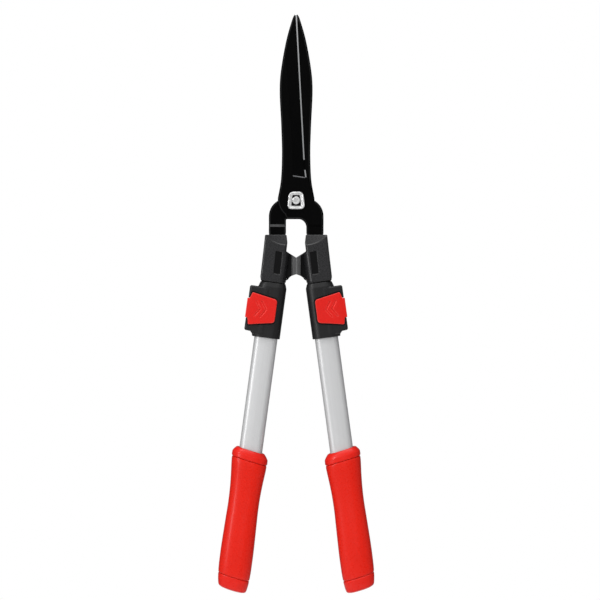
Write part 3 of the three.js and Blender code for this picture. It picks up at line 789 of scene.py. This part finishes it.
def grip_rings(stations, power=SKIN_POWER):
    """Slanted rings: each station is where it crosses the handle's middle, half width and depth."""
    angle = np.linspace(0, 2 * math.pi, GRIP_STEPS, endpoint=False)
    rings = []
    for drop, half_width, half_depth in stations:
        across = half_width * np.sign(np.cos(angle)) * np.abs(np.cos(angle)) ** (2 / power)
        deep = half_depth * np.sign(np.sin(angle)) * np.abs(np.sin(angle)) ** (2 / power)
        rings.append(np.stack([across, deep, drop - GRIP_SLANT * across], 1))
    return rings


def curve_through(stations, steps=6):
    """A smooth run of stations through the given ones."""
    stations = [np.array(s, float) for s in stations]
    run = [stations[0]]
    for i in range(len(stations) - 1):
        before = stations[max(i - 1, 0)]
        a, b = stations[i], stations[i + 1]
        after = stations[min(i + 2, len(stations) - 1)]
        for k in range(1, steps + 1):
            u = k / steps
            run.append(0.5 * (
                2 * a + (b - before) * u + (2 * before - 5 * a + 4 * b - after) * u ** 2
                + (3 * a - before - 3 * b + after) * u ** 3
            ))
    return run


def make_grips():
    flange = curve_through([
        (279.6, 15.4, 10.1), (279.8, 16.6, 11.2), (280.6, 17.9, 12.3), (283.4, 20.2, 14.0),
        (285.9, 21.7, 15.1), (287.2, 21.9, 15.2), (290.6, 21.9, 15.2), (291.5, 21.5, 14.85),
        (291.8, 20.6, 14.2),
    ], 5)
    core = [
        (291.8, 16.0, 10.5), (432.2, 16.0, 10.5), (432.2, 14.35, 8.35), (280.6, 14.35, 8.35),
        (279.8, 14.7, 8.7),
    ]
    points, faces = ring_mesh(grip_rings(flange) + grip_rings(core, BORE_POWER))
    on_handles("grip_core", points, faces, "red_plastic", [CAP_RED], sharp=50)

    skin = curve_through([
        (292.1, 20.2, 13.9), (292.8, 20.95, 14.5), (295, 21.35, 14.8), (302, 20.9, 14.5),
        (314, 19.8, 13.7), (330, 18.8, 13), (347, 18.5, 12.8), (364, 18.9, 13.1),
        (382, 19.4, 13.5), (402, 19.8, 13.8), (420, 19.7, 13.7), (429, 19.35, 13.4),
        (431.4, 19.0, 13.1), (432.2, 18.3, 12.6),
    ])
    bore = grip_rings([(432.2, 16.4, 10.9), (292.1, 16.4, 10.9)], BORE_POWER)
    points, faces = ring_mesh(grip_rings(skin) + bore)
    on_handles("grip_sleeve", points, faces, "red_grip_rubber", [GRIP_RED], sharp=50)

    cap = curve_through([
        (432.7, 18.2, 12.5), (433.3, 18.8, 13.0), (434.4, 19.0, 13.2), (440, 18.4, 12.7),
        (445.4, 17.3, 11.8), (447.3, 15.9, 10.7), (448.5, 12.8, 8.4), (449.3, 7, 4.4),
        (449.6, 0.4, 0.3),
    ])
    hollow = grip_rings([(440.3, 14.0, 8.0), (432.7, 14.4, 8.4)], BORE_POWER)
    rings = grip_rings([(440, 0.4, 0.3)]) + hollow + grip_rings(cap)
    points, faces = ring_mesh(rings, closed=False)
    on_handles("grip_end_cap", *close_ends(points, faces), "red_plastic", [CAP_RED], sharp=50)


def close_ends(points, faces):
    """Closes the first and last ring of an open run of grip rings with a fan of quads."""
    first = np.arange(GRIP_STEPS)
    last = np.arange(len(points) - GRIP_STEPS, len(points))
    caps = []
    for ring, turn in ((first, 1), (last, -1)):
        for k in range(0, GRIP_STEPS // 2 - 1):
            quad = [ring[k], ring[GRIP_STEPS - 1 - k], ring[GRIP_STEPS - 2 - k], ring[k + 1]]
            caps.append(quad[::turn])
    return points, np.concatenate([faces, np.array(caps)])


# ---------- screws and turned pieces ----------

HALF_ROOT = 0.7071  # the cosine of an eighth of a turn


def screw_field(center, face, tip):
    """A screw with a cross recess turned by an eighth."""
    def field(t, y, s):
        radius = np.hypot(t - center[0], s - center[1])
        head = meet(radius - 2.9, between(y, face - 1.6, face), 0.3)
        shaft = meet(radius - 1.5, between(y, tip, face - 1), 0.3)
        screw = np.minimum(head, shaft)
        across, down = (t - center[0]) * HALF_ROOT, (s - center[1]) * HALF_ROOT
        a, b = across + down, across - down
        arms = np.minimum(
            meet(np.abs(a) - 1.7, np.abs(b) - 0.36), meet(np.abs(b) - 1.7, np.abs(a) - 0.36)
        )
        return cut(screw, meet(arms, face - 1.1 - y), 0.08)

    return field


def make_screws():
    for part, centers, face, tip in (
        ("housing_screw", HOUSING_SCREWS, 10.0, -7.5),
        ("collar_screw", COLLAR_SCREWS, 11.0, -8.0),
    ):
        for name, center in centers.items():
            low = (center[0] - 2.9, tip, center[1] - 2.9)
            high = (center[0] + 2.9, face, center[1] + 2.9)
            points, quads = field_mesh(screw_field(center, face, tip), low, high, 0.16)
            on_handles(f"{part}_{name}", points, quads, "bright_steel", [ZINC], sharp=0)


PIVOT = np.array(JOINTS["blade_pivot"]["pos_m"]) / MM


def on_pivot(name, field, low, high, step, materials, paint=None):
    """A piece of the pivot, drawn about its axis: x, depth, height."""
    points, quads = field_mesh(field, low, high, step)
    points = fit(points, node_points(name) / MM)
    mesh = make_look(name + "_look", points * MM, points, quads, paint)
    place(mesh, name, materials, 0)


BEZEL = soften([(-10.2, -10.4, 4.8), (10.2, -10.4, 4.8), (7.9, 10.4, 5.2), (-7.9, 10.4, 5.2)], 8)
BEZEL_RECESS = 3.6


def bezel_field(x, y, z):
    """A rounded square, narrower at the top: two polished steps round a deep recess."""
    rim = outline_field(x, z, BEZEL)
    body = meet(rim, between(y, -7.65, -4.45), 0.9)
    step = meet(rim + 1.9, y + 6.9)
    body = cut(body, step, 0.45)
    recess = meet(rim + BEZEL_RECESS, y + 5.85)
    body = cut(body, recess, 0.5)
    return cut(body, np.hypot(x, z) - 4.2)


def recess_paint(middle):
    rim = outline_field(middle[:, 0], middle[:, 2] - PIVOT[2], BEZEL)
    return (rim < -BEZEL_RECESS - 0.3) & (middle[:, 1] > -6.3)


def bolt_field(x, y, z):
    radius = np.hypot(x, z)
    head = meet(radius - 4.6, between(y, -8.75, -6.15), 0.6)
    bolt = np.minimum(head, meet(radius - 3.9, between(y, -7, 14.15), 0.5))
    hexagon = np.maximum(np.abs(x), np.abs(x) * 0.5 + np.abs(z) * 0.866) - 2.3
    return cut(bolt, meet(hexagon, y + 6.4), 0.15)


def nut_field(x, y, z):
    radius = np.hypot(x, z)
    hexagon = np.maximum(np.abs(z), np.abs(z) * 0.5 + np.abs(x) * 0.866) - 6.4
    body = meet(hexagon, between(y, 7.55, 12.95), 0.15)
    body = meet(body, (radius - 7.9 + np.abs(y - 10.25) * 0.35) * 0.94)
    return cut(body, radius - 4.2, 0.3)


def make_pivot():
    on_pivot(
        "pivot_bezel", bezel_field, (-10.2, -7.65, -10.4), (10.2, -4.45, 10.4), 0.16,
        [CHROME, DARK_INSET_AND_SHADE], paint=recess_paint,
    )
    on_pivot("pivot_nut", nut_field, (-7.4, 7.55, -7.4), (7.4, 12.95, 7.4), 0.25, [ZINC])
    on_pivot("pivot_bolt", bolt_field, (-4.6, -8.75, -4.6), (4.6, 14.15, 4.6), 0.18, [CHROME])
    for name, inner, outer, low, high, slot, material in (
        ("pivot_washer", 4.2, 9.5, 4.45, 5.95, "bright_steel", ZINC),
        ("pivot_spring_washer", 4.2, 7.4, 6.25, 7.25, "spring_steel", SPRING),
    ):
        def washer(x, y, z):
            radius = np.hypot(x, z)
            return meet(np.maximum(inner - radius, radius - outer), between(y, low, high), 0.25)

        on_pivot(name, washer, (-outer, low, -outer), (outer, high, outer), 0.25, [material])


# ---------- blades ----------

TIP = 245.5
BOSS_RADIUS = 22
BLADE_BACK = -0.15
BLADE_THICKNESS = 4
TIP_THINNING = 1.6
THINNER_FROM = 90
CHAMFER = 1.3
CHAMFER_DEPTH = 0.8
WORN_HIGHLIT_WIDTH = 0.6
HONED_WIDTH = 1.45
BACK_INSET = 0.12
EDGE_LAND = 1.1
EDGE_AT_TIP = 0.8
EDGE_LEAN = 0.0535
GROUND_SHARE = 0.5  # of the thickness, by the honed strip
CREASE_DEPTH, CREASE_WIDTH, CREASE_TOP = 0.3, 0.8, 203
HEEL_LEFT, HEEL_RIGHT = (-3.8, 52.3), (12.4, 50.0)
HEEL_SLOPE = (HEEL_RIGHT[1] - HEEL_LEFT[1]) / (HEEL_RIGHT[0] - HEEL_LEFT[0])
HEEL_RISE = 1.3
HEEL_LINE_END = 11.0
FOOT_TOP = (11.2, 59)
FOOT_LEAN = 0.11
NOTCH_TOP = 71
TANG_INNER, TANG_OUTER = 12.2, 32.8
JOGGLE = (6.3, 9.3)
JOGGLE_DEPTH = 2.15
COATED_NECK = 20  # above this the neck's edge keeps its dark coating, without the worn, painted-highlight strip
SHARP_TURN = math.radians(1.2)
COATED_SLOT, HONED_SLOT, WORN_HIGHLIT_SLOT, BARED_HIGHLIT_SLOT = range(4)
BLADE_FINISHES = [COATED, HONED, WORN_AND_HIGHLIT, BARED_AND_HIGHLIT]


def on_handle(across, down):
    x, _, z = to_world([(across, 0, down)])[0] / MM
    return x, z


def edge_x(z):
    return EDGE_AT_TIP + (TIP - z) * EDGE_LEAN


def heel_z(x):
    """Height of the step at the heel, where the wide grind ends."""
    return HEEL_LEFT[1] + (x - HEEL_LEFT[0]) * HEEL_SLOPE


def ground_from(z):
    """Where the wide grind starts, left of the edge."""
    up = np.maximum(z - HEEL_LEFT[1], 0)
    return HEEL_LEFT[0] - 0.03 * up - 0.00023 * up ** 2


def honed_from(z):
    foot = edge_x(NOTCH_TOP) + (NOTCH_TOP - z) * FOOT_LEAN
    return np.where(z > NOTCH_TOP, edge_x(z), foot) - HONED_WIDTH


def joggle_end(x):
    """Where the joggle's two creases meet an upright edge at x."""
    return [(x, -s) for s in JOGGLE]


def catmull(points, count):
    run = curve_through([(*p, 0) for p in points], count)
    return [(p[0], p[1]) for p in run]


def resample(points, step):
    """Extra points on long straight stretches."""
    run = [points[0]]
    for a, b in zip(points, points[1:]):
        count = max(1, round(math.dist(a, b) / step))
        for k in range(1, count + 1):
            run.append((a[0] + (b[0] - a[0]) * k / count, a[1] + (b[1] - a[1]) * k / count))
    return run


def blade_outline(crotch_round):
    """Outline of the right-hand tang's blade, and which of its points are on the honed edge."""
    spine = catmull([
        (-1.5, TIP), (-4.8, 239), (-12.2, 212.5), (-18.4, 176.5), (-19.7, 151), (-18, 114),
        (-17, 79), (-18.2, 47), (-22, 25),
    ], 8)
    boss = [
        (BOSS_RADIUS * math.cos(a), PIVOT[2] + BOSS_RADIUS * math.sin(a))
        for a in np.linspace(math.pi, 1.28 * math.pi, 14)
    ]
    corner = TANG_INNER - crotch_round
    crotch = bend(boss[-1], (-12.5, 0), (-10, 0)) + [(corner, 0)]
    crotch += [
        (corner + crotch_round * math.sin(a), -crotch_round * (1 - math.cos(a)))
        for a in np.linspace(0, math.pi / 2, 13)[1:]
    ]
    inner_tang = [p for p in joggle_end(TANG_INNER) if p[1] < -crotch_round]
    inner_tang += [(TANG_INNER, -17), (13.4, -20), on_handle(-9, 76)]
    outer_tang = [on_handle(9, 76), on_handle(9, 32), (TANG_OUTER, -17)]
    outer_tang += [*reversed(joggle_end(TANG_OUTER)), (TANG_OUTER, 3)]
    shoulder = [
        tuple(
            (1 - t) ** 3 * a + 3 * t * (1 - t) ** 2 * b + 3 * t * t * (1 - t) * c + t ** 3 * d
            for a, b, c, d in zip((TANG_OUTER, 3), (TANG_OUTER, 12), (28, 18.5), (22, 22))
        )
        for t in [k / 12 for k in range(1, 13)]
    ]
    neck = bend((22, 22), (19.5, 38), HEEL_RIGHT, 10)
    foot = resample([HEEL_RIGHT, FOOT_TOP], 3)[1:]
    notch = bend(FOOT_TOP, (8, 63), (edge_x(NOTCH_TOP), NOTCH_TOP), 8)
    edge = resample([notch[-1], (EDGE_AT_TIP, TIP)], 6)[1:]
    outline = spine + boss + crotch + inner_tang + outer_tang
    outline += shoulder + neck + foot + notch + edge
    last = len(outline)
    honed = set(range(last - len(edge) - 1, last))
    first_foot = last - len(edge) - len(notch) - len(foot)
    honed |= set(range(first_foot - 1, first_foot + len(foot)))
    return outline, honed


def blade_faces(x, z):
    """Depths of the front and the back of the blade."""
    step = np.clip((-z - JOGGLE[0]) / (JOGGLE[1] - JOGGLE[0]), 0, 1)
    thin = np.clip((z - THINNER_FROM) / (TIP - THINNER_FROM), 0, 1)
    thickness = BLADE_THICKNESS - TIP_THINNING * thin
    back = BLADE_BACK + step * JOGGLE_DEPTH
    above = np.clip((z - heel_z(x) + HEEL_RISE) / HEEL_RISE, 0, 1)
    crease = ground_from(z)
    slope_start = crease + CREASE_WIDTH
    slope = np.clip((x - slope_start) / (honed_from(z) - slope_start), 0, 1)
    ground = CREASE_DEPTH * np.clip((x - crease) / CREASE_WIDTH, 0, 1)
    ground = ground + (thickness * GROUND_SHARE - CREASE_DEPTH) * slope
    return back - thickness + above * ground, back


def inset_outline(outline, distances):
    """Each point moved inwards, square to the outline there."""
    moved = []
    count = len(outline)
    for i, (x, z) in enumerate(outline):
        before = Vector(outline[i]) - Vector(outline[i - 1])
        after = Vector(outline[(i + 1) % count]) - Vector(outline[i])
        normal = (before.normalized() + after.normalized()).normalized()
        lean = max(abs(normal.dot(after.normalized())), 0.6)
        moved.append((x - normal.y * distances[i] / lean, z + normal.x * distances[i] / lean))
    return moved


def feature_lines(side):
    """Creases that the flat of the blade keeps crisp."""
    lines = [[joggle_end(TANG_INNER)[k], joggle_end(TANG_OUTER)[k]] for k in (0, 1)]
    if side == "front":
        heights = np.linspace(HEEL_LEFT[1], CREASE_TOP, 22)
        for width in (0, CREASE_WIDTH):
            lines.append([(float(ground_from(z)) + width, z) for z in heights])
        for fall in (0, HEEL_RISE):
            lines.append([(x, heel_z(x) - fall) for x in (HEEL_LEFT[0], HEEL_LINE_END)])
    return lines


def flat_side(loops, side):
    """Triangles within the outline, with its insets and the creases as edges.

    Also gives each point's loop and place in it, or (-1, -1).
    """
    count = len(loops[0])
    points = [Vector(p) for loop in loops for p in loop]
    starts = [k * count for k in range(len(loops))]
    edges = [(start + i, start + (i + 1) % count) for start in starts for i in range(count)]
    for line in feature_lines(side):
        start = len(points)
        points += [Vector(p) for p in line]
        edges += [(start + i, start + i + 1) for i in range(len(line) - 1)]
    made, _, triangles, origin, _, _ = delaunay_2d_cdt(points, edges, [], 1, 1e-5)
    source = [min(o) if o else len(points) for o in origin]
    on_loops = len(loops) * count
    return made, triangles, [divmod(n, count) if n < on_loops else (-1, -1) for n in source]


def blade_points(outline, on_edge, side):
    """One side of the blade: points, triangles, each triangle's finish, and the rim."""
    edge_inset = HONED_WIDTH if side == "front" else BACK_INSET
    chamfer = [edge_inset if e else CHAMFER for e in on_edge]
    deeper = [edge_inset if e else CHAMFER + WORN_HIGHLIT_WIDTH for e in on_edge]
    loops = [outline, inset_outline(outline, chamfer), inset_outline(outline, deeper)]
    made, triangles, source = flat_side(loops, side)
    points, rim = [], {}
    for k, (p, (loop, place_in)) in enumerate(zip(made, source)):
        front, back = (float(v) for v in blade_faces(p.x, p.y))
        if loop == 0:
            rim[place_in] = k
            if on_edge[place_in]:
                y = back - (EDGE_LAND if side == "front" else 0)
            else:
                y = front + CHAMFER_DEPTH if side == "front" else back - CHAMFER_DEPTH
        else:
            y = front if side == "front" else back
        points.append((p.x, y, p.y))
    middle = np.array(points)[np.array(triangles)].mean(1)
    # The strip inside the chamfer takes the lighter coating: wear, and a painted highlight line.
    inwards = -outline_field(middle[:, 0], middle[:, 2], outline)
    highlit_strip = (CHAMFER < inwards) & (inwards < CHAMFER + WORN_HIGHLIT_WIDTH)
    highlit_strip &= (middle[:, 0] < 0) | (middle[:, 2] < COATED_NECK)
    return points, triangles, list(np.where(highlit_strip, WORN_HIGHLIT_SLOT, COATED_SLOT)), rim


def blade_finish(x, z, normal, current, turned):
    """The finish of a face in the blade's own frame: its normal's y is negative in front."""
    on_strip = z > NOTCH_TOP + 0.2 or HEEL_RIGHT[1] + 0.4 < z < FOOT_TOP[1]
    if on_strip and x > honed_from(z) + 0.02 and normal.y < -0.1:
        return HONED_SLOT
    # The heel step takes the lighter grey: bared coating and painted highlight.
    on_step = HEEL_LEFT[0] < x < HEEL_RIGHT[0] - 1.5 and heel_z(x) - HEEL_RISE < z < heel_z(x)
    if on_step and normal.y < -0.3:
        return BARED_HIGHLIT_SLOT
    # Painted highlight along the upper crease of the turned blade's joggle.
    if turned and normal.y > 0.3 and normal.z > 0.3 and -JOGGLE[1] < z < -JOGGLE[0]:
        return WORN_HIGHLIT_SLOT
    return current


def make_blade(name, crotch_round, turned):
    """A blade drawn for the right-hand tang, and turned about Z for the left-hand one."""
    outline, honed = blade_outline(crotch_round)
    kept = [i for i in range(len(outline)) if math.dist(outline[i], outline[i - 1]) > 1e-4]
    on_edge = [i in honed for i in kept]
    outline = [outline[i] for i in kept]
    count = len(outline)
    points, faces, finishes, rims = [], [], [], []
    for side in ("front", "back"):
        made, triangles, kinds, rim = blade_points(outline, on_edge, side)
        start = len(points)
        points += made
        faces += [[start + v for v in t] for t in triangles]
        finishes += kinds
        rims.append([start + rim[i] for i in range(count)])
    for i in range(count):
        j = (i + 1) % count
        a, b, c, d = rims[0][i], rims[0][j], rims[1][j], rims[1][i]
        faces += [[a, b, c], [a, c, d]]
        finishes += [COATED_SLOT] * 2
    points = np.array(points)
    if turned:
        points[:, :2] *= -1
    points = fit(points, node_points(name) / MM)
    bm = bmesh.new()
    verts = [bm.verts.new(p * MM) for p in points]
    for face, finish in zip(faces, finishes):
        bm.faces.new([verts[v] for v in face]).material_index = int(finish)
    bmesh.ops.recalc_face_normals(bm, faces=bm.faces)
    if bm.calc_volume(signed=True) < 0:
        bmesh.ops.reverse_faces(bm, faces=bm.faces)
    own = Vector((-1, -1, 1) if turned else (1, 1, 1))
    for face in bm.faces:
        middle = face.calc_center_median() * own / MM
        face.material_index = blade_finish(
            middle.x, middle.z, face.normal * own, face.material_index, turned
        )
    for edge in bm.edges:
        edge.smooth = edge.calc_face_angle(0) < SHARP_TURN
    mesh = take_mesh(bm, name + "_look")
    add_local(mesh, np.array([v.co for v in mesh.vertices]))
    sharp = [e.use_edge_sharp for e in mesh.edges]
    piece = place(mesh, name, BLADE_FINISHES, 0)
    mesh.edges.foreach_set("use_edge_sharp", sharp)
    piece.modifiers.new("normals", "WEIGHTED_NORMAL").keep_sharp = True


# ---------- build ----------

make_blade("front_blade", 10, False)
make_blade("rear_blade", 1.5, True)
make_pivot()
make_housings()
make_bumpers()
make_collars()
make_buttons()
make_tubes()
make_grips()
make_screws()

slot_of = {row["node"]: row["material_slot"] for row in frame["record"]["subparts"]}
for name, node in frame["nodes"].items():
    if node.hide_render:
        continue
    finish = NODE_FINISHES.get(slot_of.get(name), NODE_FINISHES["housing_plastic"])
    node.data.materials.clear()
    node.data.materials.append(finish)

# ---------- floor, light and camera ----------

FLOOR_GAP = 0.21  # below the grips, room to lengthen the handles
FLOOR_HEIGHT = cad_box[0].z - FLOOR_GAP
FLOOR_RADIUS = 0.95
MIDDLE = (cad_box[0] + cad_box[1]) / 2


def make_floor():
    bm = bmesh.new()
    bmesh.ops.create_circle(bm, cap_ends=True, segments=128, radius=FLOOR_RADIUS)
    floor = add_object("floor", take_mesh(bm, "floor"))
    floor.location = (0, 0, FLOOR_HEIGHT)
    made = Finish("pale_floor", (0.86, 0.86, 0.86), 0.7, 0.0, False)
    made.tint((0.82, 0.82, 0.82), made.noise(0.004))
    made.relief(made.noise(0.08), 0.1)
    reach = made.node("ShaderNodeVectorMath", made.place, operation="LENGTH")
    fade = made.remap(reach.outputs["Value"], 1, 0, FLOOR_RADIUS * 0.45, FLOOR_RADIUS * 0.98)
    made.tree.links.new(fade, made.shader.inputs["Alpha"])
    floor.data.materials.append(made.material)


def softbox(name, direction, distance, size, power, mirrored=True):
    """An area light that faces the tool from a direction, and shows in shiny surfaces or not."""
    light = bpy.data.lights.new(name, "AREA")
    light.shape = "RECTANGLE"
    light.size, light.size_y = size
    light.energy = power
    lamp = add_object(name, light)
    where = Vector(direction).normalized() * distance
    lamp.location = MIDDLE + where
    lamp.rotation_mode = "QUATERNION"
    lamp.rotation_quaternion = (-where).to_track_quat("-Z", "Y")
    lamp.visible_camera = False
    lamp.visible_glossy = mirrored


# Brightness round the studio, by the turn from its front: 0 is ahead, the right is positive.
SURROUND = [
    (-180, 0.1), (-115, 0.12), (-82, 0.34), (-55, 0.6), (-22, 0.62), (-2, 0.4), (25, 0.3),
    (50, 0.3), (72, 0.32), (88, 0.24), (115, 0.1), (180, 0.1),
]
SURROUND_STRENGTH = 1.35


def make_light():
    world = bpy.data.worlds.new("studio")
    bpy.context.scene.world = world
    world.use_nodes = True
    tree = world.node_tree
    tree.nodes.clear()

    def node(kind, *values, **named):
        return add_node(tree, kind, *values, **named)

    way = node("ShaderNodeSeparateXYZ", node("ShaderNodeTexCoord").outputs["Generated"]).outputs
    ahead = node("ShaderNodeMath", way["Y"], -1, operation="MULTIPLY").outputs[0]
    turn = node("ShaderNodeMath", way["X"], ahead, operation="ARCTAN2").outputs[0]
    part = node("ShaderNodeMapRange", turn, -math.pi, math.pi, 0, 1)
    ramp = node("ShaderNodeValToRGB", part.outputs["Result"])
    stops = ramp.color_ramp.elements
    while len(stops) < len(SURROUND):
        stops.new(0.5)
    for stop, (degrees, grey) in zip(stops, SURROUND):
        stop.position = (degrees + 180) / 360
        stop.color = (grey, grey, grey, 1)
    rise = node("ShaderNodeMapRange", way["Z"], -0.9, 0.9, 0.55, 1.35).outputs["Result"]
    strength = node("ShaderNodeMath", rise, SURROUND_STRENGTH, operation="MULTIPLY").outputs[0]
    fill = node("ShaderNodeBackground", ramp.outputs["Color"], strength).outputs[0]
    seen = node("ShaderNodeBackground", (1, 1, 1, 1)).outputs[0]
    by_camera = node("ShaderNodeLightPath").outputs["Is Camera Ray"]
    node("ShaderNodeOutputWorld", node("ShaderNodeMixShader", by_camera, fill, seen).outputs[0])
    softbox("key", (-0.75, -0.8, 0.3), 1.6, (0.14, 1.6), 12)
    softbox("front", (0.1, -1.0, 0.1), 1.7, (0.5, 1.4), 13, mirrored=False)
    softbox("top", (0.0, -0.35, 1.0), 1.5, (1.2, 0.8), 12)
    softbox("rear", (-0.2, 1.0, 0.5), 1.9, (1.4, 1.4), 16, mirrored=False)


VIEW_HEIGHT = 0.72
VIEW_MIDDLE = (0.0046, -0.0971)
LENS = 110.0
SENSOR = 36.0


def make_camera():
    data = bpy.data.cameras.new("camera")
    data.lens, data.sensor_width = LENS, SENSOR
    camera = add_object("camera", data)
    camera.location = (VIEW_MIDDLE[0], -VIEW_HEIGHT * LENS / SENSOR, VIEW_MIDDLE[1])
    camera.rotation_euler = (math.pi / 2, 0, 0)
    bpy.context.scene.camera = camera


make_floor()
make_light()
make_camera()
bpy.context.scene.view_settings.view_transform = "Standard"
